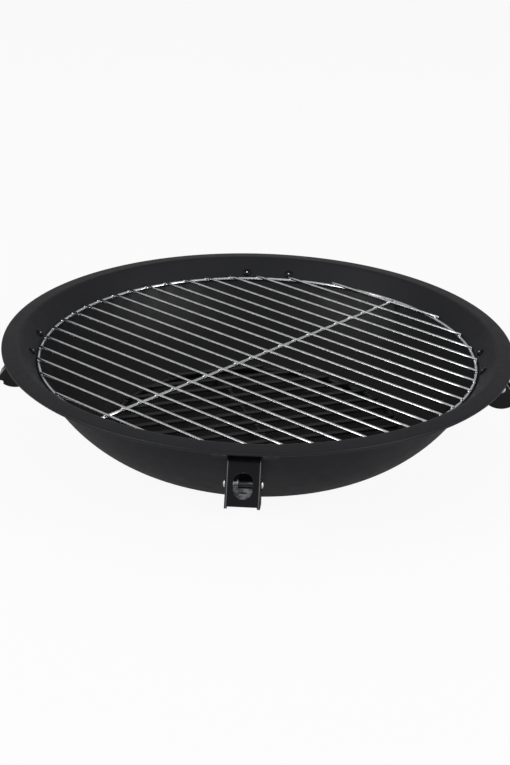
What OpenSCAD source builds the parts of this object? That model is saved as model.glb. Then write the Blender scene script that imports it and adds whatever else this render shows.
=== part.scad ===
// Portable fire bowl with a lift-off cooking grate, a charcoal grate inside
// and four short legs that fold under the bowl. Millimetres, +Z up.
// The origin is the centre of the bowl's flat underside.

/* [Bowl] */
// Outer diameter of the rim
rim_d = 560; // [500:5:620]
// Height of the rim's outer edge above the base, to its underside
rim_h = 116.5; // [113:0.5:122]
// Thickness of the pressed steel sheet
sheet = 1.5; // [1:0.1:2]
// Width of the flat flange around the rim
flange_w = 15.8; // [14:0.2:18]
// Droop of the flange towards its outer edge, in degrees
flange_droop = 5.7; // [0:0.1:8]
// Radius under the bend from flare to flange
rim_bend_r = 4.5; // [3.5:0.1:6]
// Slope of the flare below the flange, in degrees from level
flare_slope = 49; // [46:0.5:52]
// Length of the flare, down its slope
flare_len = 24.3; // [23:0.1:26]
// Radius under the bend from wall to flare
flare_bend_r = 10; // [8:0.5:12]
// Slope of the short straight wall below the flare, in degrees from level
wall_slope = 66.3; // [63:0.1:70]
// Radius of the bowl's long side curve
side_r = 168.8; // [160:0.2:172]
// Radius of the knee between side and flat base
knee_r = 60; // [50:1:75]
// Slope at which the knee meets the side curve, in degrees
knee_slope = 22.7; // [18:0.1:26]

/* [Hinge brackets] */
// Distance of the leg pivots inside the rim's edge
pivot_in = 11; // [9:0.5:14]
// Drop of the leg pivots below the rim's edge
pivot_drop = 37; // [35:0.5:40]
// Outer width of a bracket over its cheeks
bracket_w = 35; // [34:0.2:40]
// Thickness of the bracket plate
bracket_t = 1.5; // [1.2:0.1:2]
// Outer radius of the bends along the bracket and the legs
bend_r = 3; // [2.2:0.1:3.2]
// Tilt of the bracket's front from upright, and of an opened leg, in degrees
front_tilt = 34.5; // [32:0.5:37]
// Distance of the front's outer face from the pivot axis
front_out = 7; // [6.8:0.1:8]
// Length of the front above the pivot
front_above = 31.5; // [28:0.5:32]
// Length of the front below the pivot
front_below = 25.6; // [25.4:0.1:28]
// How far the front's lower edge stays short of its two side tips
front_short = 1.8; // [0:0.1:3]
// Depth of the stiffening edge down both sides of the front
front_edge = 3.2; // [3:0.1:3.3]
// Radius of the round cheeks about the pivot
cheek_r = 23.5; // [22:0.1:24]
// Radius of the lock notch in the cheeks
notch_r = 2.7; // [2:0.1:2.9]
// Turn of the lock notch from the front's line, in degrees
notch_turn = 3.2; // [2.8:0.1:3.4]
// Width of the finger hole in the front
hole_w = 19.2; // [17:0.2:20]
// Distance between the centres of the finger hole's round ends
hole_run = 7; // [5:0.5:9]
// Outer width over both mounting tabs
tabs_w = 68; // [64:1:72]
// Length of the mounting tabs up the bowl's flare
tab_len = 17; // [14:0.5:19]
// Length of the mounting tabs below the flare's bend
tab_drop = 2.4; // [1:0.1:2.8]

/* [Rivets] */
// Diameter of the leg pivot rivets
pivot_d = 6; // [5:0.1:6.4]
// Diameter of the pivot rivets' heads
pivot_head_d = 8.4; // [7.6:0.1:9]
// Height of the pivot rivets' heads
pivot_head_h = 2.2; // [1.6:0.1:2.6]
// Diameter of the rivets that hold the brackets
rivet_d = 5; // [4:0.1:5.4]
// Diameter of those rivets' heads
rivet_head_d = 9.6; // [7.5:0.1:10]
// Height of those rivets' heads
rivet_head_h = 1.6; // [1.2:0.1:2]
// Place of those rivets up the flare, from its foot
rivet_up = 6.6; // [6:0.1:9]

/* [Legs] */
// Length of a leg from its pivot to its foot
leg_len = 103; // [90:1:108]
// Thickness of the leg plate
leg_t = 1.5; // [1.2:0.1:2]
// Distance of a leg's back edge from the pivot axis
leg_back = 5.5; // [4:0.5:7]
// Where the front of a leg starts, from its pivot
leg_web_start = 28; // [25:0.5:32]
// Radius of the rounded foot corners
foot_r = 4; // [2:0.5:5]
// Gap between a leg's side and the bracket's cheek
leg_side_gap = 0.8; // [0.7:0.1:0.9]
// Gap between a leg's ears and the bracket's front
leg_front_gap = 0.5; // [0.5:0.1:0.8]
// Gap between a folded leg and the bowl
leg_bowl_gap = 1.5; // [1:0.1:4]

/* [Leg locks] */
// Thickness of the lock plate
lock_t = 1.5; // [1:0.1:1.6]
// Width of the lock plate
lock_w = 24; // [20.5:0.5:25]
// Reach of the lock plate below the pivot
lock_reach = 22; // [20.5:0.5:22.5]
// Top of the lock plate below the pivot
lock_top = 5.4; // [4.6:0.1:5.6]
// Outer diameter of the lock plate's ears on the pivot rivet
ear_d = 9.6; // [8.6:0.1:9.8]
// Width of the slot in the lock plate
lock_slot_w = 7.6; // [6:0.2:9]
// Height of the slot in the lock plate
lock_slot_h = 3.6; // [2.4:0.1:4]
// Depth of the lip at the lock plate's lower end
lock_lip = 5.3; // [4:0.1:6]
// Wire diameter of the lock spring
spring_wire = 0.9; // [0.7:0.05:1]
// Turns of the lock spring
spring_turns = 6; // [4:1:6]

/* [Cooking grate] */
// Distance of the ring wire's middle inside the rim's edge
grate_in = 39.8; // [38:0.2:43]
// Diameter of the ring wire and of the cross rod
grate_ring_wire = 4; // [3.5:0.1:4.5]
// Diameter of the grate rods
grate_rod = 3; // [2.5:0.1:3.5]
// Spacing of the grate rods
grate_pitch = 24; // [22:0.1:24.4]
// Overhang of the rods past the middle of the ring wire
grate_overhang = 1.5; // [0.5:0.1:2]
// Turn of the grate rods about the bowl's axis, in degrees
grate_turn = -38.5; // [-90:0.5:90]
// Turn of the cross rod away from square to the rods, in degrees
grate_skew = -1.5; // [-3:0.5:3]
// How far the cooking grate is raised when it is lifted off
grate_lift = 150; // [60:10:300]

/* [Charcoal grate] */
// Height of the ring bar's middle above the base
coal_h = 13; // [9:0.5:20]
// Diameter of the ring bar and the cross bar
coal_ring_bar = 5; // [4:0.1:6]
// Diameter of the bars
coal_bar = 5; // [4:0.1:6]
// Spacing of the bars
coal_pitch = 24.8; // [22:0.1:25.5]
// Turn of the bars about the bowl's axis, in degrees
coal_turn = 21; // [-90:1:90]

/* [Clearances] */
// Gap between a piece and the curved sheet that it is riveted to
seat_gap = 0.1; // [0.05:0.05:0.2]
// Radial clearance of a rivet in its hole
hole_fit = 0.06; // [0.03:0.01:0.1]
// Gap between plates that slide past each other
slide_gap = 0.3; // [0.2:0.05:0.4]
// Gap between a grate and the wall it sits on
grate_gap = 0.3; // [0.1:0.1:0.5]

/* [Hidden] */

// Sides that carry a leg, as turns about the bowl's axis from +X
RIGHT = 0;
BACK = 90;
LEFT = 180;
FRONT = 270;
SIDES = [RIGHT, BACK, LEFT, FRONT];
round_fn = 64;
bowl_fn = 180;
arc_step = 3;
cut = 1;

// The bowl's section, worked out from the rim down to the base
flange_r = rim_d / 2 - flange_w;
flange_z = rim_h + flange_w * tan(flange_droop);
rim_c_r = flange_r - rim_bend_r * sin(flange_droop);
rim_c_z = flange_z - rim_bend_r * cos(flange_droop);
flare_top_r = rim_c_r - rim_bend_r * sin(flare_slope);
flare_top_z = rim_c_z + rim_bend_r * cos(flare_slope);
flare_foot_r = flare_top_r - flare_len * cos(flare_slope);
flare_foot_z = flare_top_z - flare_len * sin(flare_slope);
flare_c_r = flare_foot_r + flare_bend_r * sin(flare_slope);
flare_c_z = flare_foot_z - flare_bend_r * cos(flare_slope);
knee_top_z = knee_r * (1 - cos(knee_slope));
// The wall stands at its own slope, or less on a bowl too shallow to reach it
least_wall_h = 1;
wall_turn = min(
    wall_slope,
    acos((knee_top_z + side_r * cos(knee_slope) + least_wall_h - flare_c_z) / (side_r + flare_bend_r))
);
wall_top_r = flare_c_r - flare_bend_r * sin(wall_turn);
wall_top_z = flare_c_z + flare_bend_r * cos(wall_turn);
side_top_z = knee_top_z + side_r * (cos(knee_slope) - cos(wall_turn));
side_top_r = wall_top_r - (wall_top_z - side_top_z) / tan(wall_turn);
side_c_r = side_top_r - side_r * sin(wall_turn);
side_c_z = side_top_z + side_r * cos(wall_turn);
base_r = side_c_r + (side_r - knee_r) * sin(knee_slope);

// A point of the underside with the slope there: [radius, height, slope]
function arc_points(c_r, c_z, r, from, to) =
    let (n = max(2, ceil(abs(to - from) / arc_step)))
    [for (i = [0:n]) let (a = from + (to - from) * i / n) [c_r + r * sin(a), c_z - r * cos(a), a]];

flare_bend = arc_points(flare_c_r, flare_c_z, -flare_bend_r, wall_turn, flare_slope);
under_path = concat(
    [[0, 0, 0]],
    arc_points(base_r, knee_r, knee_r, 0, knee_slope),
    arc_points(side_c_r, side_c_z, side_r, knee_slope + arc_step, wall_turn),
    flare_bend,
    arc_points(rim_c_r, rim_c_z, -rim_bend_r, flare_slope, -flange_droop),
    [[rim_d / 2, rim_h, -flange_droop]]
);

// The same point on the upper face of a sheet, or on a face below it
function upper(p, t) = [max(0, p[0] - t * sin(p[2])), p[1] + t * cos(p[2])];
function lower(p, gap) = [p[0] + gap * sin(p[2]), p[1] - gap * cos(p[2])];

// Outer radius of the bowl at a height on its side, wall or flare
wall_table = [for (p = under_path) if (p[0] > base_r + 1 && p[2] > flare_slope - 1) [p[1], p[0]]];
function wall_r(z) = lookup(z, wall_table);

// Height at which a wire's middle comes to rest inside the bend in the wall,
// when it lies at radius r and stays the given distance off the outer face
function seat_z(r, off) =
    let (reach = flare_bend_r + off)
    let (a = min(wall_turn, max(flare_slope, asin(min(1, (flare_c_r - r) / reach)))))
    flare_c_z + (reach + (r - flare_c_r) * sin(a)) / cos(a);

// Where the legs turn
pivot_r = rim_d / 2 - pivot_in;
pivot_z = rim_h - pivot_drop;
open_turn = front_tilt - 90;
pivot_to_side = norm([pivot_r - side_c_r, side_c_z - pivot_z]);
fold_turn = 180 - atan2(side_c_z - pivot_z, pivot_r - side_c_r)
    + asin((side_r + leg_bowl_gap + leg_back) / pivot_to_side);
cheek_out = bracket_w / 2;
leg_w = bracket_w - 2 * (bracket_t + leg_side_gap);
leg_out = front_out - bracket_t - leg_front_gap;
rivet_half = bracket_w / 2 + slide_gap;

// Mounting tabs of a bracket: from the straight wall over its bend up the flare
tab_foot = wall_top_z - tab_drop;
tab_top = flare_foot_z + tab_len * sin(flare_slope);
tab_path = concat(
    [[wall_top_r - tab_drop / tan(wall_turn), tab_foot, wall_turn]],
    flare_bend,
    [[flare_foot_r + tab_len * cos(flare_slope), tab_top, flare_slope]]
);
rivet_r = flare_foot_r + rivet_up * cos(flare_slope);
rivet_z = flare_foot_z + rivet_up * sin(flare_slope);
cheek_step = 1.2;
tab_in_turn = asin((cheek_out - bracket_t / 2) / rivet_r);
tab_out_turn = asin(tabs_w / 2 / rivet_r);
rivet_turn = (asin(cheek_out / rivet_r) + tab_out_turn) / 2;

// Lock plate, in front of the pivot rivet and behind the bracket front
lock_front = ear_d / 2;
lock_back = lock_front - lock_t;
spring_r = pivot_d / 2 + 0.3 + spring_wire / 2;
spring_pitch = spring_wire * 0.96;
spring_side = lock_w / 2 - lock_t - slide_gap - spring_wire / 2 - (spring_turns - 1) * spring_pitch;
spring_seat = lock_back - spring_wire / 2 - hole_fit;
spring_tail = 6;
spring_arm = 10;

// Places of the grates, from where their rings touch the bowl
grate_r = rim_d / 2 - grate_in;
grate_z = seat_z(grate_r, sheet + grate_gap + grate_ring_wire / 2);
rod_z = grate_z + (grate_ring_wire + grate_rod) / 2;
grate_rods_n = 2 * floor((grate_r + grate_overhang) / grate_pitch + 0.5);
coal_r = side_c_r + sqrt(pow(side_r - sheet - grate_gap - coal_ring_bar / 2, 2) - pow(side_c_z - coal_h, 2));
bar_z = coal_h + (coal_ring_bar + coal_bar) / 2;
coal_bars_n = 2 * floor((coal_r - coal_bar) / coal_pitch) + 1;

// ---- frames -------------------------------------------------------------

// Frame at a leg's pivot: X runs along the given turn in the upright plane
// through the bowl's axis, Y is its upper or outer side, Z runs along the pivot
module pivot_frame(side, turn) {
    rotate([0, 0, side])
        translate([pivot_r, 0, pivot_z])
            rotate([90, 0, 0])
                rotate([0, 0, turn])
                    children();
}

// Every place of a bracket rivet, on the outside of the flare, with Z pointing out
module each_bracket_rivet(sides) {
    for (side = sides)
        for (half = [-1, 1])
            rotate([0, 0, side + half * rivet_turn])
                translate([rivet_r, 0, rivet_z])
                    rotate([0, 180 - flare_slope, 0])
                        children();
}

// ---- shared shapes --------------------------------------------------------

// Cross-section of a bent channel: X from back to front, Y across
module channel_section(front, back, width, t) {
    intersection() {
        difference() {
            channel_outline(front, back, width, bend_r);
            translate([-t, 0])
                channel_outline(front, back - cut, width - 2 * t, bend_r - t);
        }
        translate([back, -width])
            square([front - back + cut, 2 * width]);
    }
}

// Rectangle with its two front corners rounded
module channel_outline(front, back, width, r) {
    translate([back, -width / 2])
        square([front - r - back, width]);
    translate([back, r - width / 2])
        square([front - back, width - 2 * r]);
    for (half = [-1, 1])
        translate([front - r, half * (width / 2 - r)])
            circle(r = r, $fn = round_fn);
}

// Channel that runs along X from one place to another
module channel(from, to, front, back, width, t) {
    translate([from, 0, 0])
        rotate([90, 0, 90])
            linear_extrude(height = to - from)
                channel_section(front, back, width, t);
}

// Two like plates across the pivot, each t thick with its outer face at out
module plate_pair(out, t) {
    for (side_z = [out - t, -out])
        translate([0, 0, side_z])
            linear_extrude(height = t)
                children();
}

// Low domed rivet head, its flat face at Z 0
module rivet_head(d, h) {
    rotate_extrude($fn = round_fn)
        polygon(concat([[0, 0]], [for (a = [0:9:90]) [d / 2 * cos(a), h * sin(a)]]));
}

// Straight rod along Y between the two ends given
module rod(d, x, half, z) {
    translate([x, half, z])
        rotate([90, 0, 0])
            cylinder(d = d, h = 2 * half, $fn = round_fn / 2);
}

// Wire ring about the bowl's axis
module ring(r, d, z) {
    translate([0, 0, z])
        rotate_extrude($fn = bowl_fn)
            translate([r, 0])
                circle(d = d, $fn = round_fn / 2);
}

// Parallel rods that end inside a circle of the given reach
module rod_field(n, pitch, d, reach, z) {
    for (i = [0:n - 1])
        let (x = (i - (n - 1) / 2) * pitch)
            rod(d, x, sqrt(pow(reach, 2) - pow(x, 2)), z);
}

// ---- bowl -----------------------------------------------------------------

module bowl() {
    color("#2b2b2d")
        difference() {
            rotate_extrude($fn = bowl_fn)
                polygon(concat(
                    [for (p = under_path) [p[0], p[1]]],
                    [for (i = [len(under_path) - 1:-1:0]) upper(under_path[i], sheet)]
                ));
            each_bracket_rivet(SIDES)
                cylinder(r = rivet_d / 2 + hole_fit, h = 4 * sheet + 2 * cut, center = true, $fn = round_fn);
        }
}

// ---- hinge brackets -------------------------------------------------------

// A point beside the wall in the bracket's own plane: along the front, out of it
function wall_point(z) =
    let (x = wall_r(z) + seat_gap - pivot_r, y = z - pivot_z)
    [x * sin(front_tilt) - y * cos(front_tilt), x * cos(front_tilt) + y * sin(front_tilt)];

// Oval finger hole through the front, its upper end round the pivot's line
module finger_hole() {
    for (along = [0, hole_run])
        translate([along, front_out + cut, 0])
            rotate([90, 0, 0])
                cylinder(d = hole_w, h = bracket_t + 2 * cut, $fn = round_fn);
    translate([0, front_out - bracket_t - cut, -hole_w / 2])
        cube([hole_run, bracket_t + 2 * cut, hole_w]);
}

// Side view of a bracket: front, cheek back to the wall, and the round lobe
module bracket_side() {
    translate([-front_above, front_out - front_edge])
        square([front_above + front_below, front_edge + cut]);
    circle(r = cheek_r, $fn = 2 * round_fn);
    polygon([
        [cheek_step - front_above, front_out],
        [cheek_r * 0.8, 0],
        [-cheek_r * 0.1, -cheek_r * 0.9],
        wall_point(tab_foot - cheek_step),
        wall_point(flare_foot_z),
        wall_point(tab_top - cheek_step)
    ]);
}

// The folded plate of a bracket, before its holes
module bracket_plate() {
    intersection() {
        channel(-2 * front_above, 2 * front_below, front_out, -2 * front_above, bracket_w, bracket_t);
        linear_extrude(height = 2 * bracket_w, center = true)
            bracket_side();
    }
}

// One mounting tab, rolled to the wall and its bend
module tab(from_turn, to_turn) {
    rotate([0, 0, from_turn])
        rotate_extrude(angle = to_turn - from_turn, $fn = bowl_fn)
            polygon(concat(
                [for (p = tab_path) lower(p, seat_gap)],
                [for (i = [len(tab_path) - 1:-1:0]) lower(tab_path[i], seat_gap + bracket_t)]
            ));
}

module bracket(side) {
    color("#232427")
        difference() {
            union() {
                pivot_frame(side, open_turn)
                    bracket_plate();
                rotate([0, 0, side])
                    tab(tab_in_turn, tab_out_turn);
                rotate([0, 0, side])
                    tab(-tab_out_turn, -tab_in_turn);
            }
            pivot_frame(side, open_turn)
                finger_hole();
            pivot_frame(side, open_turn)
                translate([front_below - front_short, front_out - bracket_t - cut, bend_r - bracket_w / 2])
                    cube([2 * cut + front_short, bracket_t + 2 * cut, bracket_w - 2 * bend_r]);
            pivot_frame(side, open_turn + notch_turn)
                translate([cheek_r, 0, 0])
                    cylinder(r = notch_r, h = 2 * bracket_w, center = true, $fn = round_fn);
            pivot_frame(side, 0)
                cylinder(r = pivot_d / 2 + hole_fit, h = 2 * bracket_w, center = true, $fn = round_fn);
            each_bracket_rivet([side])
                cylinder(r = rivet_d / 2 + hole_fit, h = 6 * bracket_t, center = true, $fn = round_fn);
        }
}

module bracket_rivets() {
    color("#2f2f32")
        each_bracket_rivet(SIDES) {
            translate([0, 0, -sheet - seat_gap])
                cylinder(d = rivet_d, h = sheet + 3 * seat_gap + bracket_t, $fn = round_fn);
            translate([0, 0, 2 * seat_gap + bracket_t])
                rivet_head(rivet_head_d, rivet_head_h);
            translate([0, 0, -sheet - seat_gap])
                mirror([0, 0, 1])
                    rivet_head(rivet_head_d, rivet_head_h);
        }
}

module pivot_rivets() {
    color("#c9cbcd")
        for (side = SIDES)
            pivot_frame(side, 0) {
                cylinder(d = pivot_d, h = 2 * rivet_half, center = true, $fn = round_fn);
                for (half = [0, 1])
                    mirror([0, 0, half])
                        translate([0, 0, rivet_half])
                            rivet_head(pivot_head_d, pivot_head_h);
            }
}

// ---- legs -----------------------------------------------------------------

// Ear of a leg inside the bracket's cheek, up to where the leg's front starts
module leg_ear_outline() {
    circle(r = leg_out, $fn = round_fn);
    polygon([
        [0, leg_out],
        [leg_web_start + cut, leg_out - bend_r],
        [leg_web_start + cut, -leg_back],
        [0, -leg_out]
    ]);
}

// What is cut away to round one corner of the foot
module foot_corner() {
    translate([leg_len - foot_r, foot_r - leg_back, -leg_w])
        difference() {
            translate([0, -foot_r - cut, 0])
                cube([foot_r + cut, foot_r + cut, 2 * leg_w]);
            translate([0, 0, -cut])
                cylinder(r = foot_r, h = 2 * leg_w + 2 * cut, $fn = round_fn);
        }
}

module leg(side) {
    color("#26272a")
        pivot_frame(side, fold_turn)
            difference() {
                union() {
                    channel(leg_web_start, leg_len, leg_out, -leg_back, leg_w, leg_t);
                    plate_pair(leg_w / 2, leg_t)
                        leg_ear_outline();
                }
                cylinder(r = pivot_d / 2 + hole_fit, h = 2 * leg_w, center = true, $fn = round_fn);
                foot_corner();
            }
}

// ---- leg locks ------------------------------------------------------------

// Lock plate seen from the front: straight top, round lower end
module lock_outline() {
    intersection() {
        union() {
            translate([0, -lock_w / 2])
                square([lock_reach - lock_w / 2, lock_w]);
            translate([lock_reach - lock_w / 2, 0])
                circle(d = lock_w, $fn = round_fn);
        }
        translate([lock_top, -lock_w])
            square([2 * lock_reach, 2 * lock_w]);
    }
}

// Ear at each side of the lock plate, round about the pivot
module lock_ear_outline() {
    circle(d = ear_d, $fn = round_fn);
    translate([0, lock_back])
        square([lock_reach - lock_w / 2, lock_t]);
    polygon([
        [0, lock_front],
        [lock_reach - lock_w / 2, lock_front],
        [lock_reach - lock_w / 2, lock_back],
        [0, -lock_front]
    ]);
}

module lock_plate(side) {
    color("#8b8e92")
        pivot_frame(side, open_turn)
            difference() {
                union() {
                    plate_pair(lock_w / 2, lock_t)
                        lock_ear_outline();
                    translate([0, lock_front, 0])
                        rotate([90, 0, 0])
                            linear_extrude(height = lock_t)
                                lock_outline();
                    translate([lock_reach - 2 * lock_t, lock_front - lock_lip - lock_t, -lock_w / 4])
                        cube([lock_t, lock_lip + lock_t / 2, lock_w / 2]);
                }
                cylinder(r = pivot_d / 2 + hole_fit, h = 2 * lock_w, center = true, $fn = round_fn);
                translate([lock_top + lock_slot_h, lock_back - cut, -lock_slot_w / 2])
                    cube([lock_slot_h, lock_t + 2 * cut, lock_slot_w]);
            }
}

// Torsion spring round the pivot rivet, between the lock plate's ears
module lock_spring(side) {
    last = spring_side + (spring_turns - 1) * spring_pitch;
    arm_from = sqrt(pow(spring_r, 2) - pow(spring_seat, 2));
    color("#a4a7aa")
        pivot_frame(side, open_turn) {
            for (i = [0:spring_turns - 1])
                translate([0, 0, spring_side + i * spring_pitch])
                    rotate_extrude($fn = round_fn)
                        translate([spring_r, 0])
                            circle(d = spring_wire, $fn = 16);
            translate([arm_from, spring_seat, spring_side])
                rotate([0, 90, 0])
                    cylinder(d = spring_wire, h = spring_arm - arm_from, $fn = 16);
            translate([0, spring_r, last])
                rotate([0, -90, 0])
                    cylinder(d = spring_wire, h = spring_tail, $fn = 16);
        }
}

// ---- cooking grate --------------------------------------------------------

module cooking_grate_ring() {
    color("#d6d8da")
        ring(grate_r, grate_ring_wire, grate_z);
}

module cooking_grate_rods() {
    color("#d6d8da")
        rotate([0, 0, grate_turn - 90])
            rod_field(grate_rods_n, grate_pitch, grate_rod, grate_r + grate_overhang, rod_z);
}

module cooking_grate_cross_rod() {
    color("#d6d8da")
        rotate([0, 0, grate_turn + grate_skew])
            rod(grate_ring_wire, 0, grate_r - grate_ring_wire / 2, grate_z);
}

// ---- charcoal grate -------------------------------------------------------

module charcoal_grate_ring() {
    color("#303133")
        ring(coal_r, coal_ring_bar, coal_h);
}

module charcoal_grate_bars() {
    color("#303133")
        rotate([0, 0, coal_turn - 90])
            rod_field(coal_bars_n, coal_pitch, coal_bar, coal_r, bar_z);
}

module charcoal_grate_cross_bar() {
    color("#303133")
        rotate([0, 0, coal_turn])
            rod(coal_ring_bar, 0, coal_r - coal_ring_bar / 2, coal_h);
}

bowl();
bracket(FRONT);  // bracket_front
bracket(RIGHT);  // bracket_right
bracket(BACK);  // bracket_back
bracket(LEFT);  // bracket_left
bracket_rivets();
pivot_rivets();
leg(FRONT);  // leg_front
leg(RIGHT);  // leg_right
leg(BACK);  // leg_back
leg(LEFT);  // leg_left
lock_plate(FRONT);  // lock_plate_front
lock_plate(RIGHT);  // lock_plate_right
lock_plate(BACK);  // lock_plate_back
lock_plate(LEFT);  // lock_plate_left
lock_spring(FRONT);  // lock_spring_front
lock_spring(RIGHT);  // lock_spring_right
lock_spring(BACK);  // lock_spring_back
lock_spring(LEFT);  // lock_spring_left
cooking_grate_ring();
cooking_grate_rods();
cooking_grate_cross_rod();
charcoal_grate_ring();
charcoal_grate_bars();
charcoal_grate_cross_bar();
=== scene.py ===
import math
import random

import bmesh
import bpy
from mathutils import Matrix, Quaternion, Vector


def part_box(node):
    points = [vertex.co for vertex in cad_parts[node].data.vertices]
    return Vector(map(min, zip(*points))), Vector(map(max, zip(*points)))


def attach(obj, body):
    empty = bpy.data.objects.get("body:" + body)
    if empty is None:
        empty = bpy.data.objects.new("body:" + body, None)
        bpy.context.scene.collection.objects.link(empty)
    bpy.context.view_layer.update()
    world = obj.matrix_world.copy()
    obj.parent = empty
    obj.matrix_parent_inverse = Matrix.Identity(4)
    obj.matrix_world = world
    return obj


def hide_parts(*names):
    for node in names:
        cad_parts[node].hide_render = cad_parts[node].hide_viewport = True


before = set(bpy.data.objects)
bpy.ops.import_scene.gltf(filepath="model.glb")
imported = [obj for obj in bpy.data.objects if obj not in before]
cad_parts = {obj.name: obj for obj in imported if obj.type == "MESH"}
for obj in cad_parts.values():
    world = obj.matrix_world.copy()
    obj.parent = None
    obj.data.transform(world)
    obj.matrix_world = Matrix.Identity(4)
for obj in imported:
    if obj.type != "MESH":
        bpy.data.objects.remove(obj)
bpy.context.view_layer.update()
scene = bpy.context.scene
scene.view_settings.view_transform = "Standard"


# ---- Camera ---------------------------------------------------------------
# It stands in front of the fire pit, a little to the right of the front leg,
# and looks down over the rim at the grate.

camera_turn = Matrix.Rotation(math.radians(2.2), 3, "Z")
camera = bpy.data.objects.new("camera", bpy.data.cameras.new("camera"))
scene.collection.objects.link(camera)
camera.data.lens = 82.9
camera.data.sensor_width = 36
camera.location = camera_turn @ Vector((0, -1.7874, 0.8672))
camera_aim = camera_turn @ Vector((-0.0011, 0.9127, -0.4087))
camera_roll = Quaternion((0, 0, 1), math.radians(1.63))
camera.rotation_mode = "QUATERNION"
camera.rotation_quaternion = camera_aim.to_track_quat("-Z", "Y") @ camera_roll
scene.camera = camera


# ---- Studio ---------------------------------------------------------------
# A plain pale floor under soft light: a wide overhead panel, a panel on each
# side of the camera, and a white surround that shows in bright metal.

class Value:
    """A number that runs through a material's nodes, so that sums can be written plainly."""

    def __init__(self, finish, socket):
        self.finish = finish
        self.socket = socket

    def worked(self, operation, first, second):
        return self.finish.add("ShaderNodeMath", {0: first, 1: second}, operation=operation)

    def __add__(self, other):
        return self.worked("ADD", self, other)

    def __radd__(self, other):
        return self.worked("ADD", other, self)

    def __sub__(self, other):
        return self.worked("SUBTRACT", self, other)

    def __rsub__(self, other):
        return self.worked("SUBTRACT", other, self)

    def __mul__(self, other):
        return self.worked("MULTIPLY", self, other)

    def __rmul__(self, other):
        return self.worked("MULTIPLY", other, self)

    def clamped(self, low, high):
        """From 0 at low to 1 at high, smoothly, and level beyond them."""
        return self.finish.add(
            "ShaderNodeMapRange", {"Value": self, "From Min": low, "From Max": high},
            interpolation_type="SMOOTHSTEP")


class Finish:
    """A material with the one way in which its nodes are made and joined."""

    def __init__(self, name, tree=None):
        if tree is None:
            self.material = bpy.data.materials.new(name)
            self.material.use_nodes = True
            tree = self.material.node_tree
        self.tree = tree
        self.tree.nodes.clear()

    def add(self, kind, sockets=None, out=0, **settings):
        """Makes a node, sets or joins its inputs, and gives back one of its outputs."""
        node = self.tree.nodes.new(kind)
        for name, value in settings.items():
            setattr(node, name, value)
        for name, value in (sockets or {}).items():
            if isinstance(value, Value):
                self.tree.links.new(value.socket, node.inputs[name])
            else:
                node.inputs[name].default_value = value
        return Value(self, node.outputs[out]) if node.outputs else None

    def mixed(self, share, first, second):
        """A colour between two others."""
        return self.add("ShaderNodeMix", {0: share, 6: first, 7: second}, out=2, data_type="RGBA")

    def place(self):
        """Where a point lies on the piece, in metres."""
        return self.add("ShaderNodeTexCoord", out="Object")

    def noise(self, size, detail=2, roughness=0.5):
        """Soft random pattern from 0 to 1 whose patches are about that size in metres."""
        return self.add(
            "ShaderNodeTexNoise",
            {"Vector": self.place(), "Scale": 1 / size, "Detail": detail, "Roughness": roughness})

    def raised(self, height, depth):
        """Normals of a surface that stands up by depth metres where height is 1."""
        return self.add(
            "ShaderNodeBump", {"Height": height, "Distance": depth, "Strength": 1.0}, out="Normal")

    def surface(self, **sockets):
        """Ends the material in a Principled surface. Socket names are written with _ for a space."""
        named = {name.replace("_", " "): value for name, value in sockets.items()}
        shader = self.add("ShaderNodeBsdfPrincipled", named)
        self.add("ShaderNodeOutputMaterial", {"Surface": shader})
        return self.material


def link(name, bm, material, smooth=True):
    """Turns a finished bmesh into a piece of the scene."""
    mesh = bpy.data.meshes.new(name)
    for face in bm.faces:
        face.smooth = smooth
    bm.to_mesh(mesh)
    bm.free()
    piece = bpy.data.objects.new(name, mesh)
    scene.collection.objects.link(piece)
    mesh.materials.append(material)
    return piece


floor_finish = Finish("pale_floor")
camera_ray = floor_finish.add("ShaderNodeLightPath", out="Is Camera Ray")
floor_diffuse = floor_finish.add("ShaderNodeBsdfDiffuse", {"Color": (0.86, 0.86, 0.86, 1)})
floor_glow = floor_finish.add("ShaderNodeEmission", {"Color": (1, 1, 1, 1), "Strength": 1.0})
glow_share = camera_ray * 0.92
floor_shader = floor_finish.add("ShaderNodeMixShader", {0: glow_share, 1: floor_diffuse, 2: floor_glow})
floor_finish.add("ShaderNodeOutputMaterial", {"Surface": floor_shader})
floor_reach = 12
floor_mesh = bmesh.new()
bmesh.ops.create_grid(floor_mesh, x_segments=1, y_segments=1, size=floor_reach)
floor = link("floor", floor_mesh, floor_finish.material, smooth=False)

surround = bpy.data.worlds.new("surround")
scene.world = surround
surround.use_nodes = True
sky = Finish("surround", surround.node_tree)
seen = sky.add("ShaderNodeLightPath", out="Is Camera Ray")
mirrored = sky.add("ShaderNodeLightPath", out="Is Glossy Ray")
sky_fill = 0.22
sky_mirrored = 0.22
sky_strength = seen * (1 - sky_fill) + mirrored * sky_mirrored + sky_fill
sky_shader = sky.add("ShaderNodeBackground", {"Color": (1, 1, 1, 1), "Strength": sky_strength})
sky.add("ShaderNodeOutputWorld", {"Surface": sky_shader})

lamp_target = Vector((0, 0, 0.1))
for name, place, size, power in (
        ("overhead_panel", (0.1, 0.2, 2.4), 2.2, 3.5),
        ("left_panel", (-2.0, -1.3, 1.5), 1.3, 34),
        ("right_panel", (2.1, -1.2, 1.4), 1.2, 30),
        ("front_panel", (0.0, -3.0, 0.7), 1.2, 12)):
    panel = bpy.data.objects.new(name, bpy.data.lights.new(name, "AREA"))
    scene.collection.objects.link(panel)
    panel.data.size = size
    panel.data.energy = power
    panel.location = place
    panel.rotation_mode = "QUATERNION"
    panel.rotation_quaternion = (lamp_target - Vector(place)).to_track_quat("-Z", "Y")


# ---- Bowl -----------------------------------------------------------------
# One round pressing of 1.5 mm steel sheet: flat base, curved side, a flare
# near the top and a flange that droops to an edge turned under. It is coated
# all over in matt black heat-resistant paint; shade is painted in low inside.

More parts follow.
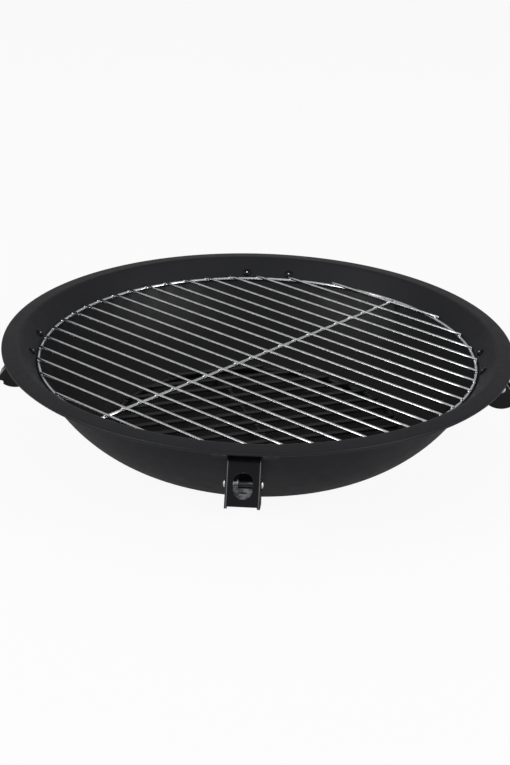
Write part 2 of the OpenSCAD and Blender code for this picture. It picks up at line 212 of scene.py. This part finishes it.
sheet = 0.0015
rim_radius = 0.28
rim_under = 0.1165
flange_width = 0.0158
flange_droop = 5.7
rim_bend = 0.0045
flare_slope = 49
flare_length = 0.0243
flare_bend = 0.01
wall_slope = 66.3
side_radius = 0.1688
knee_radius = 0.06
knee_slope = 22.7
lip_radius = 0.0022
lip_rise = 0.0002
lip_start = 84
lip_end = -60
lip_tip = -66


def on_slope(radius, degrees):
    """Offset from an arc's centre to its point with that slope."""
    return Vector((radius * math.sin(math.radians(degrees)), -radius * math.cos(math.radians(degrees))))


def up_slope(length, degrees):
    """Step of that length up a straight with that slope."""
    return Vector((length * math.cos(math.radians(degrees)), length * math.sin(math.radians(degrees))))


flange_start = Vector((
    rim_radius - flange_width,
    rim_under + flange_width * math.tan(math.radians(flange_droop))))
rim_centre = flange_start + on_slope(rim_bend, -flange_droop)
flare_top = rim_centre - on_slope(rim_bend, flare_slope)
flare_foot = flare_top - up_slope(flare_length, flare_slope)
flare_centre = flare_foot + on_slope(flare_bend, flare_slope)
wall_top = flare_centre - on_slope(flare_bend, wall_slope)
side_top_height = (
    knee_radius * (1 - math.cos(math.radians(knee_slope)))
    + side_radius * (math.cos(math.radians(knee_slope)) - math.cos(math.radians(wall_slope))))
side_top = Vector((
    wall_top.x - (wall_top.y - side_top_height) / math.tan(math.radians(wall_slope)),
    side_top_height))
side_centre = side_top - on_slope(side_radius, wall_slope)
knee_centre = side_centre + on_slope(side_radius - knee_radius, knee_slope)


def bowl_face(gap):
    """Section of the bowl's underside, or of a face at a gap above it, from base to flange."""
    points = [Vector((0, gap)), Vector((knee_centre.x * 0.5, gap))]
    for centre, radius, start, end, steps in (
            (knee_centre, knee_radius - gap, 0, knee_slope, 12),
            (side_centre, side_radius - gap, knee_slope, wall_slope, 26),
            (flare_centre, -flare_bend - gap, wall_slope, flare_slope, 8),
            (rim_centre, -rim_bend - gap, flare_slope, -flange_droop, 14)):
        slopes = [start + (end - start) * step / steps for step in range(steps + 1)]
        points += [centre + on_slope(radius, slope) for slope in slopes]
    return points


def lip_face(centre, radius, start, end, steps):
    """One face of the rim's edge, which is turned under round a small radius."""
    turns = [math.radians(start + (end - start) * step / steps) for step in range(steps + 1)]
    return [centre + radius * Vector((math.cos(turn), math.sin(turn))) for turn in turns]


def turned(bm, profile, steps):
    """Spins a section, given as points of radius and height, round Z into a closed solid."""
    points = [bm.verts.new((r, 0, z)) for r, z in profile]
    lines = [bm.edges.new(pair) for pair in zip(points, points[1:])]
    bmesh.ops.spin(
        bm, geom=points + lines, cent=(0, 0, 0), axis=(0, 0, 1), angle=math.tau, steps=steps,
        use_merge=True)


def closed(bm):
    """Merges seams and poles and points the faces outwards."""
    bmesh.ops.remove_doubles(bm, verts=bm.verts, dist=1e-6)
    bmesh.ops.recalc_face_normals(bm, faces=bm.faces)
    return bm


def black_paint(name, shade, roughness, shine, grain_depth=0.00002, painted_shade_heights=None):
    """Matt black stove paint: fine grain, faintly cloudy, a little smoother where it lies thick.

    Where two heights are given, shade is painted into the colour: it darkens from the upper one down to
    the lower."""
    paint = Finish(name)
    clouds = paint.noise(0.07, detail=4, roughness=0.6)
    film = paint.noise(0.012, detail=3)
    peel = paint.noise(0.0009)
    dark = tuple(c * 0.86 for c in shade) + (1,)
    light = tuple(c * 1.16 for c in shade) + (1,)
    colour = paint.mixed(clouds.clamped(0.3, 0.7), dark, light)
    # Painted shade: the colour darkens from the upper height down to the lower
    if painted_shade_heights:
        painted_shade_colour = (0.0008, 0.0008, 0.0008, 1)
        height = paint.add("ShaderNodeSeparateXYZ", {"Vector": paint.place()}, out="Z")
        colour = paint.mixed(height.clamped(*painted_shade_heights), painted_shade_colour, colour)
    return paint.surface(
        Base_Color=colour,
        Roughness=roughness + (film - 0.5) * 0.16,
        Specular_IOR_Level=shine,
        Normal=paint.raised(peel + film * 0.6, grain_depth))


lip_centre = Vector((rim_radius - lip_radius, rim_under + sheet - lip_radius + lip_rise))
section = (
    bowl_face(sheet)
    + lip_face(lip_centre, lip_radius, lip_start, lip_end, 12)
    + lip_face(lip_centre, lip_radius - sheet / 2, lip_tip, lip_tip, 1)[:1]
    + lip_face(lip_centre, lip_radius - sheet, lip_end, lip_start, 6)
    + bowl_face(0)[::-1])
bowl_mesh = bmesh.new()
turned(bowl_mesh, section, steps=240)
closed(bowl_mesh)
bowl_mesh.normal_update()
# The faces that look up are the bowl's inside and the flange's top; their paint has painted shade, darker
# towards the base
for face in bowl_mesh.faces:
    face.material_index = int(face.normal.z > 0)
bowl_shade = (0.007, 0.0073, 0.0096)
bowl = link("bowl_pressing", bowl_mesh, black_paint("bowl_paint", bowl_shade, 0.5, shine=0.26))
# The inside paint carries painted shade, darker towards the base
bowl.data.materials.append(
    black_paint("bowl_inside_paint_painted_shade", bowl_shade, 0.5, shine=0.26, painted_shade_heights=(0.04, 0.108)))
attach(bowl, "bowl")
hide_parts("bowl")


# ---- Hinge brackets -------------------------------------------------------
# Each is one blank of 1.5 mm steel folded into a channel, with round lobes
# about the leg's pivot, a lock notch, a finger hole and two tabs rolled to
# the flare. The sheared edges are broken and the whole is painted black.

side_turns = {"front": 270, "right": 0, "back": 90, "left": 180}


def pressed(node, name, edge, finish):
    """A CAD part with its flat faces joined and its sheared edges rounded over."""
    flat_within = math.radians(0.4)
    corner_from = math.radians(40)
    shaded_sharp_from = math.radians(48)
    bm = bmesh.new()
    bm.from_mesh(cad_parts[node].data)
    bmesh.ops.remove_doubles(bm, verts=bm.verts, dist=1e-6)
    bmesh.ops.dissolve_limit(
        bm, angle_limit=flat_within, verts=bm.verts, edges=bm.edges,
        use_dissolve_boundaries=False)
    sharp = [e for e in bm.edges if e.is_manifold and e.calc_face_angle() > corner_from]
    bmesh.ops.bevel(
        bm, geom=sharp, offset=edge, offset_type="OFFSET", affect="EDGES", segments=2,
        profile=0.5, material=-1, clamp_overlap=True)
    bmesh.ops.recalc_face_normals(bm, faces=bm.faces)
    piece = link(name, bm, finish)
    piece.data.set_sharp_from_angle(angle=shaded_sharp_from)
    shading = piece.modifiers.new("face_weighted", "WEIGHTED_NORMAL")
    shading.keep_sharp = True
    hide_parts(node)
    return piece


broken_edge = 0.00025
plate_shade = (0.0024, 0.0027, 0.004)
bracket_paint = black_paint("bracket_paint", plate_shade, 0.17, shine=0.3, grain_depth=0.000004)
for side in side_turns:
    bracket = pressed(f"bracket_{side}", f"bracket_plate_{side}", broken_edge, bracket_paint)
    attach(bracket, "bowl")


# ---- Bracket rivets -------------------------------------------------------
# Each bracket is held to the flare by two steel rivets with low round heads,
# one inside the bowl and one over the bracket's tab. They are painted over,
# and the bright end of a rivet's core shows in a well of its inner head.

bracket_width = 0.035
bracket_t = 0.0015
tabs_width = 0.068
rivet_up = 0.0066
rivet_shank = 0.0025
rivet_head = 0.0048
rivet_dome = 0.0022
rivet_well = 0.0017
head_gap = 0.0001
tab_gap = 0.0002
rivet_place = flare_foot + up_slope(rivet_up, flare_slope)
rivet_spread = 0.5 * (
    math.asin(bracket_width / 2 / rivet_place.x) + math.asin(tabs_width / 2 / rivet_place.x))


def rivet(shank, head, dome, foot, top, recess=0):
    """A rivet along Z, its shank from foot to top, with a domed head beyond each end.

    A recess leaves a round well of that radius in the middle of the lower head."""
    edge = 0.0002
    turns = [math.radians(a) for a in range(10, 81, 10)]
    rise = [(head * math.cos(a), top + edge + dome * math.sin(a)) for a in turns]
    upper = [(shank, top), (head - edge, top), (head, top + edge)] + rise
    lower = [(r, foot + top - z) for r, z in upper if r > recess]
    middle = [(0, foot - edge - dome)]
    if recess:
        crest = foot - edge - dome * math.sqrt(1 - (recess / head) ** 2)
        floor_height = crest + 0.7 * dome
        middle = [(0, floor_height), (recess * 0.8, floor_height), (recess, crest)]
    bm = bmesh.new()
    turned(bm, middle + lower[::-1] + upper + [(0, top + edge + dome)], steps=32)
    return closed(bm)


def placed(bm, source, places):
    """Adds a copy of one bmesh to another at each place, and frees it."""
    for place in places:
        copy = bpy.data.meshes.new("copy")
        source.to_mesh(copy)
        copy.transform(place)
        bm.from_mesh(copy)
        bpy.data.meshes.remove(copy)
    source.free()


def turn_about_z(degrees):
    """Turns a piece about the bowl's axis."""
    return Matrix.Rotation(math.radians(degrees), 4, "Z")


def metal(name, shade, roughness, contrast=0.14):
    """Bare or plated metal: fine grain, and patches a little duller than the rest."""
    plate = Finish(name)
    spangle = plate.noise(0.0006, detail=3)
    patches = plate.noise(0.006, detail=3)
    dark = tuple(c * (1 - contrast) for c in shade) + (1,)
    light = tuple(min(1, c * (1 + contrast / 2)) for c in shade) + (1,)
    return plate.surface(
        Base_Color=plate.mixed(patches.clamped(0.35, 0.65), dark, light),
        Metallic=1.0,
        Roughness=roughness + (spangle - 0.5) * 0.12,
        Normal=plate.raised(spangle, 0.000006))


rivet_places = [
    turn_about_z(turn) @ Matrix.Rotation(half * rivet_spread, 4, "Z")
    @ Matrix.Translation((rivet_place.x, 0, rivet_place.y))
    @ Matrix.Rotation(math.radians(180 - flare_slope), 4, "Y")
    for turn in side_turns.values() for half in (-1, 1)]
rivets = bmesh.new()
placed(
    rivets,
    rivet(rivet_shank, rivet_head, rivet_dome, -sheet - head_gap, tab_gap + bracket_t, recess=rivet_well),
    rivet_places)
rivet_paint = black_paint(
    "rivet_paint", (0.002, 0.002, 0.0024), 0.32, shine=0.16, grain_depth=0.000006)
bracket_rivets = link("bracket_rivet_heads", rivets, rivet_paint)
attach(bracket_rivets, "bowl")
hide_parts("bracket_rivets")

stub_depth = 0.0014
stub = bmesh.new()
bmesh.ops.create_uvsphere(
    stub, u_segments=16, v_segments=8, radius=rivet_well * 0.72,
    matrix=Matrix.Translation((0, 0, -sheet - stub_depth)) @ Matrix.Diagonal((1, 1, 0.8, 1)))
stubs = bmesh.new()
placed(stubs, stub, rivet_places)
bright_zinc = metal("bright_zinc", (0.8, 0.81, 0.82), 0.3)
rivet_stubs = link("bracket_rivet_stubs", stubs, bright_zinc)
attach(rivet_stubs, "bowl")


# ---- Leg pivots -----------------------------------------------------------
# A thick bright zinc-plated rivet runs through each bracket and carries the
# leg, the lock plate and its spring. Its low round heads stand outside.

pivot_in = 0.011
pivot_drop = 0.037
pivot_radius = 0.003
pivot_head = 0.0042
pivot_dome = 0.002
slide_gap = 0.0003
pivot_half = bracket_width / 2 + slide_gap
pivot_place = Vector((rim_radius - pivot_in, rim_under - pivot_drop))


def pivot_frame(turn, tilt):
    """Place of a leg's pivot: X along the tilt, Y out of the front, Z along the pivot."""
    return (
        turn_about_z(turn)
        @ Matrix.Translation((pivot_place.x, 0, pivot_place.y))
        @ Matrix.Rotation(math.radians(90), 4, "X")
        @ Matrix.Rotation(math.radians(tilt), 4, "Z"))


# The shank between the heads is dull, and its dark colour is painted shade for the bracket's shadow on it
pivot_pin = rivet(pivot_radius, pivot_head, pivot_dome, -pivot_half, pivot_half)
for face in pivot_pin.faces:
    face.material_index = int(abs(face.calc_center_median().z) < 0.9 * pivot_half)
pivots = bmesh.new()
placed(pivots, pivot_pin, [pivot_frame(turn, 0) for turn in side_turns.values()])
pivot_rivets = link("pivot_rivet_pins", pivots, bright_zinc)
# The shank's dark material is painted shade
pivot_rivets.data.materials.append(metal("pivot_shank_painted_shade", (0.045, 0.045, 0.048), 0.45))
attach(pivot_rivets, "bowl")
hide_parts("pivot_rivets")


# ---- Legs -----------------------------------------------------------------
# Short channels of 1.5 mm steel between the cheeks of the brackets, shown
# folded in under the bowl. Edges are broken and painted with the brackets.

leg_paint = black_paint("leg_paint", plate_shade, 0.2, shine=0.3, grain_depth=0.000004)
for side in side_turns:
    leg = pressed(f"leg_{side}", f"leg_channel_{side}", broken_edge, leg_paint)
    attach(leg, f"leg_{side}")


# ---- Lock plates ----------------------------------------------------------
# Small zinc-plated catches that hang by two ears on the pivots, behind the
# finger holes: dull and mottled, with a slot across and a lip at the foot.

lock_edge = 0.0002
lock_zinc = metal("dull_zinc", (0.14, 0.143, 0.15), 0.4, contrast=0.65)
for side in side_turns:
    lock = pressed(f"lock_plate_{side}", f"lock_catch_{side}", lock_edge, lock_zinc)
    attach(lock, f"lock_{side}")


# ---- Lock springs ---------------------------------------------------------
# A coil of hard-drawn wire round each pivot, between the catch's ears. One
# end lies along the catch and the other reaches back from the coil.

lock_w = 0.024
lock_t = 0.0015
wire_room = 0.0009
spring_wire = 0.00084
spring_pitch = 0.000864
spring_turns = 5
spring_radius = pivot_radius + slide_gap + wire_room / 2
spring_start = lock_w / 2 - lock_t - slide_gap - wire_room / 2 - spring_turns * spring_pitch
first_arm = -0.006
last_arm = 0.009
front_tilt = 34.5
open_tilt = front_tilt - 90
steps_per_turn = 24


def drawn_out(bm, loop):
    """Extrudes a wire's open end in place, and gives back the new end's points and edges."""
    drawn = bmesh.ops.extrude_edge_only(bm, edges=loop)["geom"]
    tip = [v for v in drawn if isinstance(v, bmesh.types.BMVert)]
    end = [e for e in drawn if isinstance(e, bmesh.types.BMEdge) and e.is_boundary]
    return tip, end


def coil_spring():
    """The wire, wound from a small circle, with a straight arm drawn out of each end."""
    bm = bmesh.new()
    start = Matrix.Translation((0, spring_radius, spring_start))
    wire = bmesh.ops.create_circle(
        bm, segments=10, radius=spring_wire / 2, cap_ends=False,
        matrix=start @ Matrix.Rotation(math.radians(90), 4, "Y"))
    first = list({e for v in wire["verts"] for e in v.link_edges})
    wound = bmesh.ops.spin(
        bm, geom=wire["verts"] + first, cent=(0, 0, 0), axis=(0, 0, 1),
        dvec=(0, 0, spring_pitch / steps_per_turn), angle=-math.tau * spring_turns,
        steps=steps_per_turn * spring_turns, use_merge=False)
    last = [e for e in wound["geom_last"] if isinstance(e, bmesh.types.BMEdge)]
    for loop, reach in ((first, first_arm), (last, last_arm)):
        tip, end = drawn_out(bm, loop)
        bmesh.ops.translate(bm, verts=tip, vec=(reach, 0, 0))
        bmesh.ops.contextual_create(bm, geom=end)
    return closed(bm)


spring_steel = metal("spring_wire", (0.3, 0.3, 0.3), 0.3)
for side in side_turns:
    spring_mesh = bmesh.new()
    placed(spring_mesh, coil_spring(), [pivot_frame(side_turns[side], open_tilt)])
    spring = link(f"lock_coil_{side}", spring_mesh, spring_steel)
    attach(spring, f"lock_{side}")
    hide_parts(f"lock_spring_{side}")


# ---- Cooking grate --------------------------------------------------------
# A round grid of steel wire: twenty parallel rods laid on a ring and on one
# cross rod and spot-welded at each crossing, then plated bright. The rods
# are cut a little unevenly and none is quite straight.

def wire_loop(bm, thickness, matrix):
    """The end of a wire: a circle of edges ready to be drawn out."""
    circle = bmesh.ops.create_circle(
        bm, segments=14, radius=thickness / 2, cap_ends=False, matrix=matrix)
    return list({e for v in circle["verts"] for e in v.link_edges})


def wire_ring(radius, thickness, height):
    """A ring of round wire about the bowl's axis."""
    bm = bmesh.new()
    loop = wire_loop(
        bm, thickness,
        Matrix.Translation((radius, 0, height)) @ Matrix.Rotation(math.radians(90), 4, "X"))
    bmesh.ops.spin(
        bm, geom=list(bm.verts) + loop, cent=(0, 0, 0), axis=(0, 0, 1), angle=math.tau, steps=200,
        use_merge=True)
    return closed(bm)


def wire_rod(bm, thickness, across, half, height, sway):
    """A rod along Y with rounded ends, that wanders by up to about the sway given."""
    stations = 14
    corner = thickness * 0.22
    narrow = thickness - 2 * corner
    drift = random.uniform(-sway, sway)
    bow = random.uniform(-sway, sway)

    def wander(along):
        share = along / half
        return drift * share + bow * (1 - share * share)

    loop = wire_loop(
        bm, narrow,
        Matrix.Translation((across, -half, height)) @ Matrix.Rotation(math.radians(90), 4, "X"))
    bmesh.ops.contextual_create(bm, geom=loop)
    steps = (
        [(corner, thickness / narrow)]
        + [((2 * half - 2 * corner) / stations, 1)] * stations
        + [(corner, narrow / thickness)])
    along = -half
    for length, size in steps:
        tip, loop = drawn_out(bm, loop)
        lean = wander(along + length) - wander(along)
        along += length
        bmesh.ops.translate(bm, verts=tip, vec=(lean, length, 0))
        middle = sum((v.co for v in tip), Vector()) / len(tip)
        bmesh.ops.scale(bm, verts=tip, vec=(size, 1, size), space=Matrix.Translation(-middle))
    bmesh.ops.contextual_create(bm, geom=loop)


def weld_bead(bm, place, size):
    """A spot weld: a low lump that wraps the crossing of two wires."""
    lump = bmesh.ops.create_icosphere(bm, subdivisions=2, radius=1)["verts"]
    bmesh.ops.scale(bm, verts=lump, vec=size)
    bmesh.ops.translate(bm, verts=lump, vec=place)


def grate(name, finish, rod_wire, overhang, pitch, count, turn, skew, sway, nodes):
    """One round grate: ring, cross rod, rods and weld beads, each a piece of its own.

    The ring's size and place are those of the first node's box. The rods reach past the
    middle of its wire by the overhang, and the body that carries them has the grate's name."""
    low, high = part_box(nodes[0])
    ring_wire = high[2] - low[2]
    ring_height = (low[2] + high[2]) / 2
    radius = high[0] - ring_wire / 2
    rod_height = ring_height + (ring_wire + rod_wire) / 2
    weld_height = ring_height + ring_wire / 2
    weld_size = (rod_wire * 0.72, rod_wire * 0.8, rod_wire * 0.34)
    uneven = 0.0006
    rods = bmesh.new()
    beads = bmesh.new()
    for number in range(count):
        across = (number - (count - 1) / 2) * pitch
        half = math.sqrt((radius + overhang) ** 2 - across ** 2) - random.uniform(0, uneven)
        wire_rod(rods, rod_wire, across, half, rod_height, sway)
        crossing = math.sqrt(radius ** 2 - across ** 2)
        for along in (across * math.tan(math.radians(skew)), -crossing, crossing):
            weld_bead(beads, (across, along, weld_height), weld_size)
    cross = bmesh.new()
    wire_rod(cross, ring_wire, 0, radius - ring_wire / 2, ring_height, 0)
    made = (
        ("ring", wire_ring(radius, ring_wire, ring_height), 0, nodes[0]),
        ("rods", closed(rods), turn - 90, nodes[1]),
        ("cross", closed(cross), turn + skew, nodes[2]),
        ("welds", closed(beads), turn - 90, None))
    for part, bm, way, node in made:
        bmesh.ops.transform(bm, matrix=turn_about_z(way), verts=bm.verts)
        piece = link(f"{name}_{part}_wire", bm, finish)
        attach(piece, name)
        if node:
            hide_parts(node)


random.seed(7)
grate(
    "cooking_grate", metal("grate_chrome", (0.74, 0.75, 0.76), 0.2),
    rod_wire=0.003, overhang=0.0015, pitch=0.024, count=20, turn=-38.5, skew=-1.5, sway=0.0006,
    nodes=("cooking_grate_ring", "cooking_grate_rods", "cooking_grate_cross_rod"))


# ---- Charcoal grate -------------------------------------------------------
# The lower grid is made the same way from thicker bar, a third smaller, and
# left matt black. Thirteen bars lie on its ring, near the bowl's floor.

coal_paint = black_paint(
    "charcoal_grate_paint", (0.011, 0.011, 0.011), 0.5, shine=0.35, grain_depth=0.00003)
grate(
    "charcoal_grate", coal_paint,
    rod_wire=0.005, overhang=0, pitch=0.0248, count=13, turn=21, skew=0, sway=0.0004,
    nodes=("charcoal_grate_ring", "charcoal_grate_bars", "charcoal_grate_cross_bar"))
